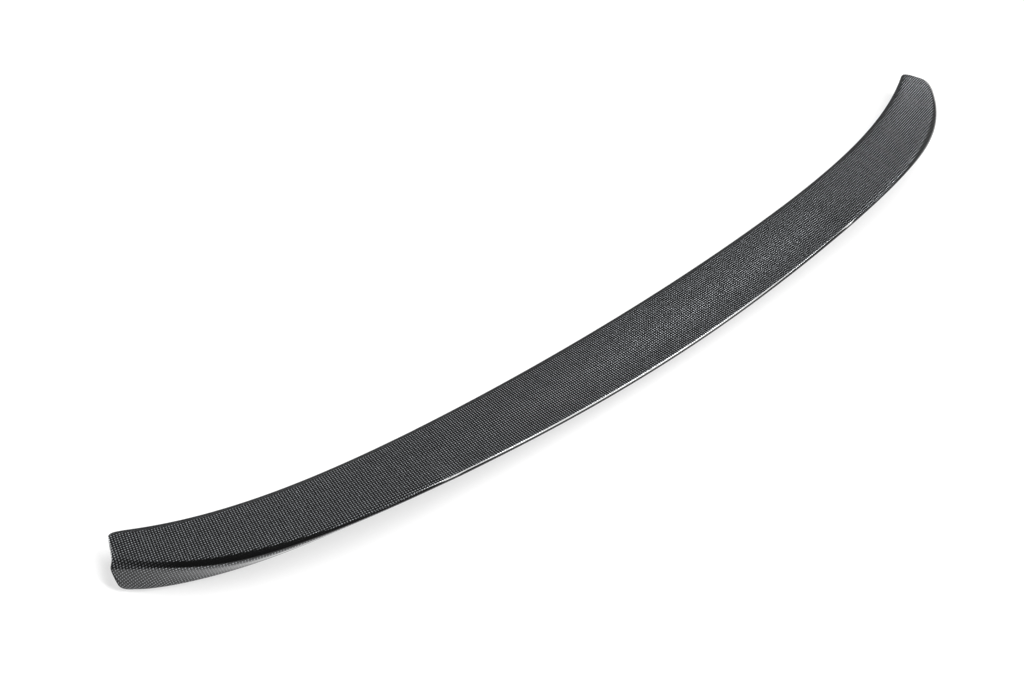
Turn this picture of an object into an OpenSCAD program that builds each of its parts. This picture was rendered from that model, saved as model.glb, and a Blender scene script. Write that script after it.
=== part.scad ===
// Lip spoiler for a boot lid, moulded in one piece as a thin skin that is open underneath.
// +X runs along the part to the right seen from behind, +Y to the front of the car, +Z up.
// The origin is on the floor under the middle of the part's box, as it stands on its rear flange.
// A place along the part is given by w, from 0 on the centreline to 1 at the ends of the crest.

/* [Plan] */
// length between the two ends of the trailing crest
crest_length = 1170; // [1060:2:1280]
// how much further out the crest ends than the front edge does, at each end
end_slant = 13; // [2:0.5:20]
// front edge to crest on the centreline
chord = 91.5; // [78:0.5:102]
// even forward curve of the front edge, reached at its ends
front_bow = 38; // [28:1:50]
// extra forward sweep of the front edge close to its ends
front_sweep = 42; // [30:1:52]
// even forward curve of the crest, reached at its ends
crest_bow = 57; // [46:1:66]
// extra forward sweep of the crest close to its ends
crest_sweep = 84.5; // [74:0.5:92]

/* [Heights] */
// height of the front edge on the centreline
front_height = 8; // [4:0.5:12]
// how much higher the front edge is at its ends
front_rise = 19.5; // [10:0.5:24]
// height of the crest on the centreline
crest_height = 21; // [18:0.5:26]
// height of the crest at its ends
crest_end_height = 25.5; // [18:0.5:30]
// how far the crest arches up halfway out
crest_hump = 12; // [8:0.5:14]
// how far the bottom edge of the flange arches off the floor halfway out
bottom_hump = 10.5; // [6:0.5:11]

/* [Rear flange] */
// height of the blunt trailing face under the crest
edge_face = 3.8; // [3.6:0.1:6]
// how far the bottom edge lies in front of the crest on the centreline
undercut = 18; // [10:0.5:20]
// how far the bottom edge stands out behind the crest at the ends
flare = 18; // [10:0.5:24]
// how far each end of the flange leans inward from the crest down to the bottom edge
end_lean = 6; // [0:0.5:10]

/* [Centre section] */
// half the distance between the two steps in the crest
step_place = 289; // [240:1:330]
// how far each crease runs forward from its step
crease_run = 52; // [42:1:60]
// how far each crease runs inward over that length
crease_reach = 5; // [0:1:14]
// depth of the hollow in front of the crest between the creases
hollow_depth = 1.3; // [0.5:0.1:2]
// height of the roll over the crest outside the creases
roll_height = 1.2; // [0.5:0.1:1.6]
// distance of the top of that roll from the crest
roll_place = 8; // [6:0.5:12]

/* [Skin] */
// thickness of the skin
wall = 2.4; // [2:0.1:2.6]
// thickness of the rounded rim round the flange and the ends
rim = 3.6; // [2.8:0.1:4]
// width of the zone in which the rim thickens
rim_zone = 7; // [5:0.5:9]
// thickness of the front edge
front_edge = 1.3; // [1:0.1:2]
// width of the zone in which the front edge thins
front_zone = 9; // [6:0.5:14]
// corner radius at each end of the front edge
front_corner = 3; // [2:0.5:6]
// corner radius at each end of the flange's bottom edge
rear_corner = 6.5; // [5:0.5:11]
// rounding of the sharp crest between the steps
crest_round = 1.8; // [1.4:0.1:2.2]
// rounding of the crest outside the steps
roll_round = 3.4; // [2.6:0.1:3.8]
// extra rounding of the crest where it starts to turn forward
turn_round = 4; // [2:0.5:5]
// how far the skin turns down and in at each end
end_fall = 1.5; // [1:0.5:3]

/* [Hidden] */

half = crest_length / 2;
front_share = (half - end_slant) / half;
step_gap = 1.2;
slant_zone = 120;
corner_zone = 45;
turn_place = 485;
turn_zone = 90;
fall_zone = 12;
crest_reach = 30;
flange_power = 7.6;
centre_stations = 9;
outer_stations = 19;
top_rows = 10;
end_turns = [40, 75];

// even and swept curve of an edge, seen from above
function curve(bow, sweep, power, w) = bow * pow(w, 2) + sweep * pow(w, power);
// arch that is nothing on the centreline and at the ends
function arch(height, w) = 4 * height * pow(w, 2) * (1 - pow(w, 2));
// fades from 1 at the edge to 0 at the given distance
function fade(d, zone) = d >= zone ? 0 : (1 + cos(180 * d / zone)) / 2;
// how far a rounded corner stands in, at distance d from the edge
function corner_inset(d, r) = d >= r ? 0 : r - sqrt(r * r - (r - d) * (r - d));
function unit(v) = v / norm(v);
function mix(a, b, t) = a + (b - a) * t;
function bend(a, b, c, t) = mix(mix(a, b, t), mix(b, c, t), t);

// the four lines that carry the section, and the way out of the crest, for a place x
function front_at(x) =
    let (w = abs(x) / half)
    [x * front_share, curve(front_bow, front_sweep, 6, w), front_height + front_rise * w * w];
function crest_at(x) =
    let (w = abs(x) / half)
    [x, curve(crest_bow, crest_sweep, 8, w) - chord,
        mix(crest_height, crest_end_height, w * w) + arch(crest_hump, w)];
function out_at(x) =
    let (w = abs(x) / half,
         slope = (2 * crest_bow * w + 8 * crest_sweep * pow(w, 7)) / half)
    unit([sign(x) * slope, -1, 0]);
// how soft the crest is, from 0 to 1, and the height of the blunt face
function softness(x) = fade(abs(abs(x) - turn_place), turn_zone);
function face_at(x) = edge_face + turn_round * 0.8 * softness(x);
function bottom_out(x) = (undercut + flare) * pow(abs(x) / half, flange_power) - undercut;
function bottom_at(x) =
    let (c = crest_at(x))
    [c[0], c[1], arch(bottom_hump, abs(x) / half)] + out_at(x) * bottom_out(x);
// lower edge of the blunt face, which lies in the flange's own slope where the flange flares
function heel_at(x) =
    let (c = crest_at(x),
         b = bottom_at(x),
         share = face_at(x) / (c[2] - b[2]),
         lean = (undercut + flare) * pow(abs(x) / half, flange_power) * share - 1)
    c + out_at(x) * lean - [0, 0, face_at(x)];

// inside corners of the skin under the crest and behind the heel
function crest_inside(x) = crest_at(x) - out_at(x) * wall - [0, 0, wall * 1.15];
function heel_inside(x) =
    let (h = heel_at(x) - out_at(x) * wall)
    [h[0], h[1], min(h[2] + wall * 0.35, crest_inside(x)[2] - 0.4)];
// inside of the bottom edge, square to the flange
function bottom_inside(x) =
    let (b = bottom_at(x),
         n = out_at(x),
         along = unit(b - heel_at(x)))
    b + (n * along[2] - [0, 0, along * n]) * wall;

// height of the top skin over the straight chord, at distance s in front of the crest
function swell(s, inner) =
    let (hollow = s < crease_run ? -hollow_depth * sin(180 * s / crease_run) : 0,
         roll = roll_height * (s / roll_place) * exp(1 - s / roll_place))
    inner ? hollow : roll;

// straight distance from the crest to the front edge
function reach_at(x) = norm(front_at(x) - crest_at(x));
// one point pair [outside, inside] of the skin on a top row, at distance s from the crest
function top_pair(x, s, start, inner) =
    let (f = front_at(x),
         c = crest_at(x),
         reach = reach_at(x),
         t = (s - start) / (reach - start),
         under = mix(crest_inside(x), f - [0, 0, wall], 0.01),
         lift = [0, 0, swell(s, inner)])
    [mix(c, f, s / reach) + lift, mix(under, f - [0, 0, wall], t) + lift];

// point pairs round the crest, t from 0 on the top to 1 on the blunt face
function crest_pair(x, start, inner, t) =
    let (a = top_pair(x, start, start, inner),
         c = crest_at(x),
         ci = crest_inside(x),
         down = 0.42 + 0.18 * softness(x))
    [bend(a[0], c, mix(c, heel_at(x), down), t), bend(a[1], ci, mix(ci, heel_inside(x), 0.3), t)];

// point pairs round the heel, t from 0 on the blunt face to 1 on the flange
function heel_pair(x, t) =
    let (h = heel_at(x),
         hi = heel_inside(x))
    [bend(mix(h, crest_at(x), 0.35), h, mix(h, bottom_at(x), 0.14), t),
        bend(mix(hi, crest_inside(x), 0.3), hi, mix(hi, bottom_inside(x), 0.1), t)];

// point pair on the flange, at distance d above its bottom edge
function flange_pair(x, d) =
    let (h = heel_at(x),
         b = bottom_at(x),
         t = d / norm(h - b))
    [mix(b, h, t), mix(bottom_inside(x), heel_inside(x), t)];

// rows of the section: kind of row and its place
front_rows = [0, 0.3, 1];
crest_rows = [0, 0.18, 0.34, 0.5, 0.66, 0.82, 1];
heel_rows = [0, 0.5, 1];
flange_rows = [1, 0.55, 0.28, 0.1, 0];

// one station of the part as a list of point pairs from the front edge to the bottom edge
function station(x, inner, close) =
    let (ax = abs(x),
         side = x < 0 ? -1 : 1,
         tilt = max(0, 1 - abs(ax - step_place) / slant_zone),
         reach = reach_at(x),
         start = inner ? crest_round : roll_round + turn_round * softness(x),
         span = norm(heel_at(x) - bottom_at(x)),
         far = reach - front_corner * 1.8)
    concat(
        [for (r = front_rows)
            let (d = r * front_corner,
                 xs = side * (ax - tilt * crease_reach - close * corner_inset(d, front_corner)))
            sunk(thin(top_pair(xs, reach_at(xs) - d, start, inner), d, 1000, close), x, 0, 1)],
        [for (i = [top_rows : -1 : 1])
            let (s = start + (far - start) * pow(i / top_rows, 1.7),
                 xs = side * (ax - tilt * crease_reach * min(1, s / crease_run)))
            sunk(thin(top_pair(xs, s, start, inner), reach - s, 1000, close), x, fade(s, crest_reach), 1)],
        [for (t = crest_rows) sunk(thin(crest_pair(x, start, inner, t), 1000, 1000, close), x, 1, 1)],
        [for (t = heel_rows) sunk(thin(heel_pair(x, t), 1000, 1000, close), x, 1, 1)],
        [for (r = flange_rows)
            let (d = min(r * rear_corner, span * 0.8),
                 lean = end_lean * (1 - d / span),
                 xs = side * (ax - close * (corner_inset(d, rear_corner) + lean)))
            sunk(thin(flange_pair(xs, d), 1000, d, close), x, 1, d / span)]
    );

// moves a pair inward and down where the skin turns in at an end
function sunk(pair, x, inward, down) =
    let (fall = end_fall * pow(max(0, 1 - (half - abs(x)) / fall_zone), 2),
         move = -out_at(x) * fall * inward - [0, 0, fall * down])
    [pair[0] + move, pair[1] + move];

// sets the thickness of a pair: thin at the front edge, thick at the rim
function thin(pair, from_front, from_bottom, close) =
    let (across = pair[0] - pair[1],
         at_rim = max(fade(from_bottom, rim_zone), pow(close, 8)),
         at_front = fade(from_front, front_zone),
         gain = (rim / wall - 1) / 2 * at_rim * (1 - at_front),
         body = mix(1, front_edge / wall, at_front))
    [pair[1] + across * (body + gain), pair[1] - across * gain];

// closed ring of a station: outside, round the rim, inside, round the front edge
function ring(pairs, shrink, push) =
    let (last = len(pairs) - 1,
         mids = [for (p = pairs) (p[0] + p[1]) / 2 + push],
         outs = [for (i = [0 : last]) mids[i] + (pairs[i][0] - pairs[i][1]) / 2 * shrink],
         ins = [for (i = [0 : last]) mids[i] - (pairs[i][0] - pairs[i][1]) / 2 * shrink],
         down = unit(mids[last] - mids[last - 3]),
         ahead = unit(mids[0] - mids[3]),
         low = norm(outs[last] - ins[last]) / 2,
         nose = norm(outs[0] - ins[0]) / 2)
    concat(
        outs,
        [for (a = [45, 90, 135]) mids[last] + (outs[last] - mids[last]) * cos(a) + down * low * sin(a)],
        [for (i = [last : -1 : 0]) ins[i]],
        [for (a = [120, 60]) mids[0] + (outs[0] - mids[0]) * cos(a) + ahead * nose * sin(a)]
    );

// places along one half of the part
inner_places = [for (i = [0 : centre_stations - 1]) (step_place - step_gap) * i / (centre_stations - 1)];
outer_places = [for (i = [0 : outer_stations - 1])
    step_place + step_gap + (half - step_place - step_gap) * (1 - pow(1 - i / (outer_stations - 1), 1.8))];

function closeness(x) = fade(half - abs(x), corner_zone);
function rings_at(x, inner) = ring(station(x, inner, closeness(x)), 1, [0, 0, 0]);
function end_rings(side) =
    let (s = station(side * half, false, 1),
         way = unit([side, 0.15, -0.1]))
    [for (a = end_turns) ring(s, cos(a), way * rim / 2 * sin(a))];

right_rings = concat(
    [for (x = inner_places) rings_at(x, true)],
    [for (x = outer_places) rings_at(x, false)],
    end_rings(1)
);
all_rings = concat(
    [for (i = [1 : -1 : 0]) end_rings(-1)[i]],
    [for (i = [outer_stations - 1 : -1 : 0]) rings_at(-outer_places[i], false)],
    [for (i = [centre_stations - 1 : -1 : 1]) rings_at(-inner_places[i], true)],
    right_rings
);

count = len(all_rings[0]);
pairs_count = (count - 5) / 2;
points = [for (r = all_rings) for (p = r) p];
lowest = min([for (p = points) p[2]]);
middle_y = (min([for (p = points) p[1]]) + max([for (p = points) p[1]])) / 2;
placed = [for (p = points) p - [0, middle_y, lowest]];

function sides() = [
    for (k = [0 : len(all_rings) - 2])
        for (j = [0 : count - 1])
            let (a = k * count + j,
                 b = k * count + (j + 1) % count,
                 c = a + count,
                 d = b + count)
            for (t = [[a, c, b], [b, c, d]]) t
];
function cap(base, flip) = [
    for (t = concat(
        [for (j = [0 : pairs_count - 2])
            for (q = [[j, j + 1, count - 3 - j], [j + 1, count - 4 - j, count - 3 - j]]) q],
        [for (i = [0 : 2]) [pairs_count - 1, pairs_count + i, pairs_count + i + 1]],
        [for (i = [0 : 1]) [0, count - 3 + i, count - 2 + i]]))
    flip ? [base + t[0], base + t[2], base + t[1]] : [base + t[0], base + t[1], base + t[2]]
];

module spoiler() {
    color([0.11, 0.115, 0.12])
    polyhedron(
        points = placed,
        faces = concat(cap(0, false), sides(), cap((len(all_rings) - 1) * count, true)),
        convexity = 6
    );
}

spoiler();
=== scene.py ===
import math

import bmesh
import bpy
import numpy as np
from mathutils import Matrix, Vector


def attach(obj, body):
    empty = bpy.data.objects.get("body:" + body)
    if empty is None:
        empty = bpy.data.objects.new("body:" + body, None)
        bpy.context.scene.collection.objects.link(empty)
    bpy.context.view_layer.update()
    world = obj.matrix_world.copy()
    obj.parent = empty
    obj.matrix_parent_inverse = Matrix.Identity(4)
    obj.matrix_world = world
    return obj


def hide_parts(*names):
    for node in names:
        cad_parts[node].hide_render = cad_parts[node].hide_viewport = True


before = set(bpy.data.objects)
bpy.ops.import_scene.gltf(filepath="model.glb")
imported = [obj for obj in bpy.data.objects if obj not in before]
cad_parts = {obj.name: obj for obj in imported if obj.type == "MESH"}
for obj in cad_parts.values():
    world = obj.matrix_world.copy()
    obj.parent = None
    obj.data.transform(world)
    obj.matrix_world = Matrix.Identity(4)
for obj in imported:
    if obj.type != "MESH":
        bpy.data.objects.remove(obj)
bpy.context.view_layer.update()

# cloth: distance between like crossings, the even bow in which it was laid, and the tows' relief
CROSSING = 0.002747
CLOTH_BOW = 0.223
TOW_PITCH = CROSSING / math.sqrt(2)
TOW_ARCH = 0.00011
TOW_CROWN = 0.00007

# painted sheen: the first way of tows is painted near white, as if its fibres catch the light, while the
# second way and the resin between them keep carbon's dark; and how the level differs at random from tow
# to tow
PAINTED_SHEEN_TOW = 0.80
CROSS_TOW = 0.03
RESIN = 0.002
TOW_SPREAD = 0.3
TOW_LEAST = 0.85
CARBON_TINT = (0.96, 1.0, 1.05)

# rotation of the shine's long axis for the two ways of tows, in turns
FIRST_WAY_TURN = 0.125
SECOND_WAY_TURN = 0.375

# inside: share of the weave's painted sheen that shows through, size of the dull patches and of the fine
# grain
LAMINATE_WEAVE = 0.45
PATCH_SCALE = 38.0
GRAIN_SCALE = 900.0
GRAIN_HEIGHT = 0.0004

# camera, as in the photograph
CAMERA_PLACE = (-0.77273, -0.7489, 1.089)
CAMERA_AZIMUTH = -39.522
CAMERA_ELEVATION = 46.2
CAMERA_LENS = 48.97

# floor: side, drop below the part, its colour for light, and its colour and glow for the eye
FLOOR_SIZE = 14.0
FLOOR_DROP = 0.0002
FLOOR_LIT = 0.87
FLOOR_SEEN = 0.34
FLOOR_GLOW = 0.66

# long softbox over the part: its centre, full half-width and outer half-width, first along X as
# direction cosines, then round X in degrees
STRIP_REACH = (0.48, 0.07, 0.13)
STRIP_TURN = (105, 33, 42)
STRIP_LEVEL = 18.0

# round lamps: azimuth from +Y towards +X, elevation, half-angle in degrees, and level
ROUND_LAMPS = (
    (327, 12, 25, 6.0),
    (95, 35, 30, 0.5),
)
AMBIENT = 0.12

# a place in the middle of the top skin
SEED_CELL = Vector((0.018, -0.03, 0.015))

# rows round a section: points on the rim and on the front edge, between the outer and inner rows
RIM_ROWS = 3
NOSE_ROWS = 2

# roll of the crest: its first and last row, how many rows from the first the painted shade starts,
# its radius, and where along the raised centre it fades out
ROLL_ROWS = (12, 21)
LIP_ROWS = 2
ROLL_RADIUS = 0.0023
ROLL_END = 0.40
ROLL_FADE = 0.06

# share by which the flange's cloth is folded down straight back instead of square to the crest
FOLD_STRAIGHT = 0.5

# plain strip without weave along the front edge: its width and level; the level of the painted shade on
# the crest's roll, where along the part that painted shade fades out, and its share over the flange's
# cloth
FRONT_STRIP = (0.0035, 0.0055)
FRONT_LEVEL = 0.045
PAINTED_SHADE_LEVEL = 0.004
DARK_END = 0.59
DARK_FADE = 0.04
FLANGE_PAINTED_SHADE = 0.35


def clear_selection():
    """Leaves object mode with nothing selected."""
    if bpy.context.object and bpy.context.object.mode != "OBJECT":
        bpy.ops.object.mode_set(mode="OBJECT")
    bpy.ops.object.select_all(action="DESELECT")


def edge_kinds(cells, seed_place):
    """Sorts the edges of the skin's cells, band by band from the middle: across, along or diagonal."""
    cells.faces.ensure_lookup_table()
    seed = min(cells.faces, key=lambda face: (face.calc_center_median() - seed_place).length)
    by_length = sorted(seed.edges, key=lambda edge: edge.calc_length())
    kinds = dict(zip(by_length, ("across", "along", "diagonal")))
    band, seen, known = [seed], {seed}, set()
    while band:
        for face in band:
            for shared in face.edges:
                for other in shared.link_faces:
                    if kinds[shared] != "across" and other not in seen:
                        carry_kinds(kinds, face, shared, other)
                        seen.add(other)
                        band.append(other)
        known.update(vertex for face in band for vertex in face.verts)
        band, last_band = [], band
        for face in last_band:
            for shared in face.edges:
                for other in shared.link_faces:
                    is_new = other not in seen and any(vertex not in known for vertex in other.verts)
                    if kinds[shared] == "across" and is_new:
                        carry_kinds(kinds, face, shared, other)
                        seen.add(other)
                        band.append(other)
    return kinds


def carry_kinds(kinds, face, shared, other):
    """Opposite sides of the two triangles that share an edge are of one kind."""
    p, q = shared.verts
    for mine, theirs in ((p, q), (q, p)):
        side = next(edge for edge in face.edges if edge != shared and mine in edge.verts)
        far = next(edge for edge in other.edges if edge != shared and theirs in edge.verts)
        kinds[far] = kinds[side]


def chains(mesh, edges):
    """Groups of points joined by the given edges."""
    group = np.arange(len(mesh.vertices))
    ends = np.array([mesh.edges[index].vertices[:] for index in edges])
    while True:
        low = np.minimum(group[ends[:, 0]], group[ends[:, 1]])
        before = group.copy()
        np.minimum.at(group, ends[:, 0], low)
        np.minimum.at(group, ends[:, 1], low)
        if (before == group).all():
            return group


def copy_of_skin(node, name):
    """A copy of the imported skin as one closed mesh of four-sided cells, and its rings of points."""
    clear_selection()
    node.select_set(True)
    bpy.context.view_layer.objects.active = node
    bpy.ops.object.duplicate()
    skin = bpy.context.object
    skin.name = name
    skin.data.name = name
    skin.parent = None
    for key in list(skin.keys()):
        del skin[key]
    bpy.ops.object.mode_set(mode="EDIT")
    bpy.ops.mesh.select_all(action="SELECT")
    bpy.ops.mesh.remove_doubles(threshold=1e-6)
    bpy.ops.mesh.customdata_custom_splitnormals_clear()
    bpy.ops.mesh.select_mode(type="EDGE")
    bpy.ops.mesh.select_all(action="DESELECT")
    bpy.ops.object.mode_set(mode="OBJECT")
    cells = bmesh.new()
    cells.from_mesh(skin.data)
    kinds = {edge.index: kind for edge, kind in edge_kinds(cells, SEED_CELL).items()}
    cells.free()
    rings = section_rings(skin.data, kinds)
    for index, kind in kinds.items():
        skin.data.edges[index].select = kind == "diagonal"
    bpy.ops.object.mode_set(mode="EDIT")
    bpy.ops.mesh.dissolve_edges(use_verts=False, use_face_split=False)
    bpy.ops.object.mode_set(mode="OBJECT")
    return skin, rings


def section_rings(mesh, kinds):
    """Numbers of the points by row round the section and by ring along the part."""
    ring_of = chains(mesh, [index for index, kind in kinds.items() if kind == "across"])
    row_of = chains(mesh, [index for index, kind in kinds.items() if kind == "along"])
    places = np.array([vertex.co[:] for vertex in mesh.vertices])
    rows, counts = np.unique(row_of, return_counts=True)
    rows = rows[counts == counts.max()]
    ring_names = np.unique(ring_of[np.isin(row_of, rows)])
    ring_names = sorted(ring_names, key=lambda name: places[ring_of == name, 0].mean())
    grid = np.full((len(rows), len(ring_names)), -1)
    row_number = {name: k for k, name in enumerate(rows)}
    ring_number = {name: k for k, name in enumerate(ring_names)}
    for vertex, (row, ring) in enumerate(zip(row_of, ring_of)):
        if row in row_number and ring in ring_number:
            grid[row_number[row], ring_number[ring]] = vertex
    middle = grid[:, len(ring_names) // 2]
    return grid[row_order(mesh, kinds, middle, places)]


def row_order(mesh, kinds, middle, places):
    """Order of the rows round the middle ring, from the front edge over the top to the rim."""
    next_to = {vertex: [] for vertex in middle}
    for index, kind in kinds.items():
        a, b = mesh.edges[index].vertices
        if kind == "across" and a in next_to and b in next_to:
            next_to[a].append(b)
            next_to[b].append(a)
    crest = max(middle, key=lambda vertex: places[vertex][2] - places[vertex][1])
    ahead = max(next_to[crest], key=lambda vertex: places[vertex][1])
    order = [ahead, crest]
    while len(order) < len(middle):
        order.append(next(v for v in next_to[order[-1]] if v != order[-2]))
    outer = (len(middle) - RIM_ROWS - NOSE_ROWS) // 2
    front = max(range(len(order)), key=lambda k: first_row_score(order, k, outer, places))
    order = order[front:] + order[:front]
    index_of = {vertex: k for k, vertex in enumerate(middle)}
    return [index_of[vertex] for vertex in order]


def first_row_score(order, k, outer, places):
    """How well row k serves as the first outer row: outer rows lie above their inner twins."""
    count = len(order)
    gaps = [places[order[(k + i) % count]] - places[order[(k + 2 * outer + RIM_ROWS - 1 - i) % count]]
            for i in range(outer)]
    return -sum(np.linalg.norm(gap) for gap in gaps) + sum(gap[2] - gap[1] for gap in gaps)


def round_crest(skin, rings):
    """Gives the crest of the raised centre a full round roll, fading out before the ends."""
    vertices = skin.data.vertices
    places = np.array([vertex.co[:] for vertex in vertices])[rings]
    outer = (len(rings) - RIM_ROWS - NOSE_ROWS) // 2
    first, last = ROLL_ROWS
    ahead = unit(places[first - 1] - places[first])
    down = unit(places[last] - places[last - 1])
    corner = meeting(places[first], ahead, places[last], down)
    half = np.arccos(np.clip((ahead * down).sum(axis=1), -1, 1))[:, None] / 2
    centre = corner + unit(ahead + down) * ROLL_RADIUS / np.sin(half)
    start = unit(corner + ahead * ROLL_RADIUS / np.tan(half) - centre)
    finish = unit(corner + down * ROLL_RADIUS / np.tan(half) - centre)
    side = unit(finish - start * (finish * start).sum(axis=1)[:, None])
    share = raised_share(places[first, :, 0])[:, None]
    for row in range(first, last + 1):
        turn = (math.pi - 2 * half) * (row - first) / (last - first)
        rolled = centre + ROLL_RADIUS * (start * np.cos(turn) + side * np.sin(turn))
        shift = (rolled - places[row]) * share
        for twin in (row, 2 * outer + RIM_ROWS - 1 - row):
            for vertex, place in zip(rings[twin], places[twin] + shift):
                vertices[vertex].co = place


def raised_share(x):
    """One over the raised centre, falling to nothing before the ends."""
    return np.clip((ROLL_END - np.abs(x)) / ROLL_FADE, 0, 1)


def unit(vectors):
    """The same directions at length one."""
    return vectors / np.linalg.norm(vectors, axis=1)[:, None]


def meeting(place, way, other_place, other_way):
    """Where lines through two rows of places come closest, taken on the first line."""
    gap = other_place - place
    cosine = (way * other_way).sum(axis=1)
    reach = ((gap * way).sum(axis=1) - cosine * (gap * other_way).sum(axis=1)) / (1 - cosine ** 2)
    return place + way * reach[:, None]


def smooth_skin(skin, levels):
    """Rounds the faceted skin with a subdivision surface."""
    rounding = skin.modifiers.new("rounding", "SUBSURF")
    rounding.levels = levels
    rounding.render_levels = levels
    bpy.ops.object.modifier_apply(modifier=rounding.name)
    bpy.ops.object.shade_smooth()


def steps(places):
    """Distances from each row to the next."""
    return np.linalg.norm(np.diff(places, axis=0), axis=2)


def spread_cloth(skin, rings):
    """Writes where each point lies on the flat cloth, how far it is from the front edge, and where
    painted shade darkens it.
    """
    places = np.array([vertex.co[:] for vertex in skin.data.vertices])[rings]
    outer = (len(rings) - RIM_ROWS - NOSE_ROWS) // 2
    crest = np.argmax((places[:outer, :, 2] - places[:outer, :, 1]).mean(axis=1))
    write_map(skin.data, "cloth", rings, flat_places(places, crest, outer))
    write_map(skin.data, "plain", rings, front_and_shade_shares(places, crest, outer))
    mark_inside(skin.data, rings[inner_rows(outer)])


def inner_rows(outer):
    """The rows on the inside, which run back from the rim."""
    return slice(outer + RIM_ROWS, 2 * outer + RIM_ROWS)


def flat_places(places, crest, outer):
    """The cloth laid flat: as seen from above up to the crest, then folded down over the flange."""
    flat = places[:, :, :2].copy()
    way = np.gradient(places[crest, :, :2], axis=0)
    way /= np.linalg.norm(way, axis=1)[:, None]
    back = np.stack([way[:, 1], -way[:, 0]], axis=1) * (1 - FOLD_STRAIGHT)
    back = unit(back + (0, -FOLD_STRAIGHT))
    lengths = np.vstack([np.zeros(places.shape[1]), np.cumsum(steps(places[crest:outer]), axis=0)])
    flat[crest:outer] = places[crest, :, :2] + back * lengths[:, :, None]
    flat[inner_rows(outer)] = flat[:outer][::-1]
    rim = places[outer:outer + RIM_ROWS]
    to_rim = np.minimum(np.linalg.norm(rim - places[outer - 1], axis=2),
                        np.linalg.norm(rim - places[outer + RIM_ROWS], axis=2))
    flat[outer:outer + RIM_ROWS] = flat[outer - 1] + back * to_rim[:, :, None]
    return flat


def front_and_shade_shares(places, crest, outer):
    """Distance from the front edge, and the share of painted shade on the crest's roll and the flange.
    """
    from_front = np.zeros(places.shape[:2])
    from_front[1:outer] = np.cumsum(steps(places[:outer]), axis=0)
    roll = np.zeros(places.shape[:2])
    first, last = ROLL_ROWS
    # painted shade on the roll, where the turned-over surface mirrors dark, fading out towards the ends
    # and on the raised centre's first roll row
    dark = np.clip((DARK_END - np.abs(places[crest, :, 0])) / DARK_FADE, 0, 1)
    roll[first + LIP_ROWS] = dark * (1 - raised_share(places[crest, :, 0]))
    roll[first + LIP_ROWS + 1:last - 1] = dark
    # painted shade over the flange, which faces down under the crest
    roll[last:outer + RIM_ROWS] = FLANGE_PAINTED_SHADE
    for values in (from_front, roll):
        values[inner_rows(outer)] = values[:outer][::-1]
    from_front[outer:outer + RIM_ROWS] = from_front[outer - 1]
    return np.stack([from_front, roll], axis=2)


def write_map(mesh, name, rings, values):
    """Writes a pair of numbers for each point as a UV map."""
    points = np.zeros((len(mesh.vertices), 2))
    points[rings.ravel()] = values.reshape(-1, 2)
    corners = np.empty(len(mesh.loops), dtype=int)
    mesh.loops.foreach_get("vertex_index", corners)
    layer = mesh.uv_layers.new(name=name)
    layer.data.foreach_set("uv", points[corners].ravel())


def mark_inside(mesh, inner_rows):
    """Gives the faces between inner rows the second material."""
    inside = set(inner_rows.ravel().tolist())
    for face in mesh.polygons:
        face.material_index = int(all(vertex in inside for vertex in face.vertices))


def bow_cloth(skin):
    """Turns the flat places into the cloth's own coordinates, in crossings, with its even bow."""
    layer = skin.data.uv_layers["cloth"]
    flat = np.empty(len(layer.data) * 2)
    layer.data.foreach_get("uv", flat)
    flat = flat.reshape(-1, 2)
    along = flat[:, 0] * (1 + 2 * CLOTH_BOW * flat[:, 1])
    across = flat[:, 1] - CLOTH_BOW * flat[:, 0] ** 2
    layer.data.foreach_set("uv", (np.stack([along, across], axis=1) / CROSSING).ravel())


class Net:
    """A material's or world's nodes, added one call at a time."""

    def __init__(self, owner):
        self.owner = owner
        owner.use_nodes = True
        self.tree = owner.node_tree

    def add(self, kind, inputs=(), **settings):
        node = self.tree.nodes.new("ShaderNode" + kind)
        for key, value in settings.items():
            setattr(node, key, value)
        for socket, value in dict(inputs).items():
            self.put(node.inputs[socket], value)
        return node

    def put(self, socket, value):
        if isinstance(value, bpy.types.NodeSocket):
            self.tree.links.new(value, socket)
        else:
            socket.default_value = value

    def math(self, operation, a, b=0.0, c=0.0):
        node = self.add("Math", operation=operation)
        for socket, value in zip(node.inputs, (a, b, c)):
            self.put(socket, value)
        return node.outputs[0]

    def blend(self, factor, a, b):
        node = self.add("Mix", data_type="FLOAT")
        for key, value in (("Factor", factor), ("A", a), ("B", b)):
            self.put(node.inputs[key], value)
        return node.outputs["Result"]

    def ramp(self, value, start, end, first=0.0, last=1.0):
        node = self.add("MapRange", {"Value": value}, interpolation_type="SMOOTHSTEP")
        for key, number in (("From Min", start), ("From Max", end), ("To Min", first), ("To Max", last)):
            self.put(node.inputs[key], number)
        return node.outputs["Result"]

    def grey(self, level, tint):
        """A colour of the given level and tint."""
        node = self.add("CombineColor")
        for socket, share in zip(node.inputs, tint):
            self.put(socket, self.math("MULTIPLY", level, share))
        return node.outputs["Color"]

    def set(self, **values):
        shader = self.tree.nodes["Principled BSDF"]
        for key, value in values.items():
            self.put(shader.inputs[key.replace("_", " ")], value)


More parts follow.
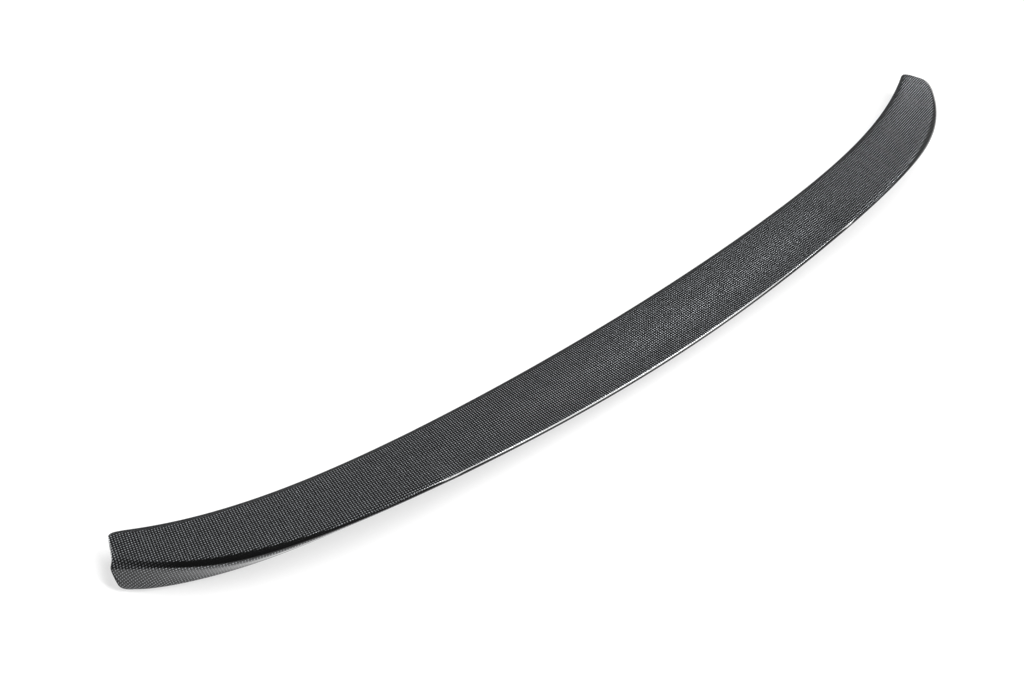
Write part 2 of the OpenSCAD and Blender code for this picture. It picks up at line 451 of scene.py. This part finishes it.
def plain_weave(net):
    """Places within the tow that lies on top, and which of the two ways it runs."""
    cloth = net.add("UVMap", uv_map="cloth")
    split = net.add("SeparateXYZ", {"Vector": cloth.outputs["UV"]})
    u, v = split.outputs["X"], split.outputs["Y"]
    first = net.math("ADD", u, v)
    second = net.math("SUBTRACT", u, v)
    first_cell = net.math("FLOOR", first)
    second_cell = net.math("FLOOR", second)
    way = net.math("FLOORED_MODULO", net.math("ADD", first_cell, second_cell), 2.0)
    first_place = net.math("MULTIPLY_ADD", net.math("SUBTRACT", first, first_cell), 2.0, -1.0)
    second_place = net.math("MULTIPLY_ADD", net.math("SUBTRACT", second, second_cell), 2.0, -1.0)
    along = net.blend(way, first_place, second_place)
    across = net.blend(way, second_place, first_place)
    cells = net.add("CombineXYZ", {"X": first_cell, "Y": second_cell})
    chance = net.add("TexWhiteNoise", {"Vector": cells.outputs["Vector"]}, noise_dimensions="2D")
    return way, along, across, chance.outputs["Value"]


def tow_normal(net, way, along, across):
    """Normal of a tow that arches over the one below and is crowned across."""
    arch = net.math("MULTIPLY", net.math("SINE", net.math("MULTIPLY", along, math.pi / 2)),
                    -TOW_ARCH * math.pi / TOW_PITCH)
    crown = net.math("MULTIPLY", across, -4 * TOW_CROWN / TOW_PITCH)
    first = net.blend(way, arch, crown)
    second = net.blend(way, crown, arch)
    x = net.math("MULTIPLY", net.math("ADD", first, second), -math.sqrt(0.5))
    y = net.math("MULTIPLY", net.math("SUBTRACT", first, second), -math.sqrt(0.5))
    colour = net.add("CombineXYZ", {
        "X": net.math("MULTIPLY_ADD", x, 0.5, 0.5),
        "Y": net.math("MULTIPLY_ADD", y, 0.5, 0.5),
        "Z": 1.0,
    })
    return net.add("NormalMap", {"Color": colour.outputs["Vector"]}, uv_map="cloth").outputs["Normal"]


def painted_tow_sheen(net, way, along, across, chance):
    """Painted sheen of the weave: each tow is painted brightest along its crown as a highlight, far more
    on the first way than the second, fading into the resin at its sides and where it dips.
    """
    side = net.math("SUBTRACT", 1.0, net.math("ABSOLUTE", across))
    dip = net.math("SUBTRACT", 1.0, net.math("ABSOLUTE", along))
    body = net.math("MULTIPLY", side, dip)
    spread = net.math("MULTIPLY_ADD", chance, TOW_SPREAD, TOW_LEAST)
    # the first way's peak is the painted sheen, while the second way's stays dark
    peak = net.math("MULTIPLY", net.blend(way, CROSS_TOW, PAINTED_SHEEN_TOW), spread)
    return net.math("MULTIPLY_ADD", body, peak, RESIN)


def front_strip_and_painted_shade(net, level):
    """The weave's level, with a plain strip without weave along the front edge, and painted shade on the
    crest's roll and over the flange.
    """
    plain = net.add("UVMap", uv_map="plain")
    split = net.add("SeparateXYZ", {"Vector": plain.outputs["UV"]})
    level = net.blend(net.ramp(split.outputs["X"], *FRONT_STRIP, 1.0, 0.0), level, FRONT_LEVEL)
    return net.blend(split.outputs["Y"], level, PAINTED_SHADE_LEVEL)


def clear_coated_cloth():
    """Plain-weave carbon cloth on the bias under a polished clear coat."""
    net = Net(bpy.data.materials.new("clear_coated_cloth"))
    way, along, across, chance = plain_weave(net)
    tangent = net.add("Tangent", direction_type="UV_MAP", uv_map="cloth")
    # the base colour carries the painted sheen of the tows, and painted shade on the crest's roll and
    # over the flange
    level = front_strip_and_painted_shade(net, painted_tow_sheen(net, way, along, across, chance))
    net.set(
        Base_Color=net.grey(level, CARBON_TINT),
        Metallic=0.7,
        Roughness=0.38,
        Anisotropic=0.7,
        Specular_IOR_Level=0.0,
        Anisotropic_Rotation=net.blend(way, SECOND_WAY_TURN, FIRST_WAY_TURN),
        Tangent=tangent.outputs["Tangent"],
        Normal=tow_normal(net, way, along, across),
        Coat_Weight=1.0,
        Coat_Roughness=0.03,
        Coat_IOR=1.5,
    )
    return net.owner


def bare_laminate():
    """The inside as it leaves the mould's back: dull resin over the same weave."""
    net = Net(bpy.data.materials.new("bare_laminate"))
    way, along, across, chance = plain_weave(net)
    place = net.add("TexCoord").outputs["Object"]
    patches = net.add("TexNoise", {"Vector": place, "Scale": PATCH_SCALE, "Detail": 4.0}).outputs["Fac"]
    level = net.math("MULTIPLY", painted_tow_sheen(net, way, along, across, chance), LAMINATE_WEAVE)
    level = net.math("ADD", level, net.ramp(patches, 0.35, 0.75, 0.006, 0.022))
    grain = net.add("TexNoise", {"Vector": place, "Scale": GRAIN_SCALE, "Detail": 2.0}).outputs["Fac"]
    bump = net.add("Bump", {"Height": grain, "Strength": 0.25, "Distance": GRAIN_HEIGHT})
    net.set(
        Base_Color=net.grey(level, CARBON_TINT),
        Roughness=net.ramp(patches, 0.3, 0.7, 0.42, 0.6),
        Specular_IOR_Level=0.4,
        Normal=bump.outputs["Normal"],
    )
    return net.owner


def any_ray(net, *kinds):
    """1 for a ray of any of these kinds, else 0."""
    path = net.add("LightPath")
    share = path.outputs[kinds[0]]
    for kind in kinds[1:]:
        share = net.math("MAXIMUM", share, path.outputs[kind])
    return share


def white_floor():
    """A pale floor that the camera and reflections see as white, with a pale shadow."""
    net = Net(bpy.data.materials.new("white_floor"))
    seen = any_ray(net, "Is Camera Ray", "Is Glossy Ray", "Is Transmission Ray")
    net.set(
        Base_Color=net.grey(net.blend(seen, FLOOR_LIT, FLOOR_SEEN), (1.0, 1.0, 1.0)),
        Roughness=0.9,
        Specular_IOR_Level=0.0,
        Emission_Color=(1, 1, 1, 1),
        Emission_Strength=net.math("MULTIPLY", seen, FLOOR_GLOW),
    )
    bpy.ops.mesh.primitive_plane_add(size=FLOOR_SIZE, location=(0, 0, -FLOOR_DROP))
    floor = bpy.context.object
    floor.name = "floor"
    floor.data.materials.append(net.owner)


def round_lamp(net, direction, azimuth, elevation, half_angle, level):
    """Light of one round soft lamp far away, by direction."""
    a, e = math.radians(azimuth), math.radians(elevation)
    axis = net.add("VectorMath", {0: direction}, operation="DOT_PRODUCT")
    axis.inputs[1].default_value = (math.sin(a) * math.cos(e), math.cos(a) * math.cos(e), math.sin(e))
    return net.ramp(axis.outputs["Value"], math.cos(math.radians(half_angle)), 1.0, 0.0, level)


def strip_lamp(net, direction):
    """Light of the long softbox, which the rolled crest mirrors as a white line."""
    x, y, z = net.add("SeparateXYZ", {"Vector": direction}).outputs
    centre, full, end = STRIP_REACH
    aside = net.math("ABSOLUTE", net.math("SUBTRACT", x, centre))
    centre, full_turn, end_turn = (math.radians(angle) for angle in STRIP_TURN)
    turned = net.math("ABSOLUTE", net.math("SUBTRACT", net.math("ARCTAN2", z, y), centre))
    along = net.ramp(aside, full, end, 1.0, 0.0)
    round_x = net.ramp(turned, full_turn, end_turn, 1.0, 0.0)
    return net.math("MULTIPLY", net.math("MULTIPLY", along, round_x), STRIP_LEVEL)


def studio_light():
    """Soft lamps round the part in the world, which the camera itself sees as plain white."""
    world = bpy.data.worlds.new("studio")
    bpy.context.scene.world = world
    net = Net(world)
    direction = net.add("TexCoord").outputs["Generated"]
    level = net.math("ADD", strip_lamp(net, direction), AMBIENT)
    for lamp in ROUND_LAMPS:
        level = net.math("ADD", round_lamp(net, direction, *lamp), level)
    seen = any_ray(net, "Is Camera Ray", "Is Transmission Ray")
    net.put(net.tree.nodes["Background"].inputs["Strength"], net.blend(seen, level, 1.0))
    net.put(net.tree.nodes["Background"].inputs["Color"], (1, 1, 1, 1))


def photo_camera():
    """The camera at the photograph's place."""
    bpy.ops.object.camera_add(location=CAMERA_PLACE)
    camera = bpy.context.object
    camera.name = "camera"
    camera.rotation_euler = (math.radians(90 - CAMERA_ELEVATION), 0, math.radians(CAMERA_AZIMUTH))
    camera.data.lens = CAMERA_LENS
    camera.data.sensor_width = 36.0
    camera.data.clip_end = 50.0
    bpy.context.scene.camera = camera
    bpy.context.scene.view_settings.view_transform = "Standard"


studio_light()
photo_camera()
white_floor()
skin, rings = copy_of_skin(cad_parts["spoiler"], "spoiler_skin")
spread_cloth(skin, rings)
round_crest(skin, rings)
smooth_skin(skin, 2)
bow_cloth(skin)
skin.data.materials.clear()
skin.data.materials.append(clear_coated_cloth())
skin.data.materials.append(bare_laminate())
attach(skin, "root")
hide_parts("spoiler")
clear_selection()
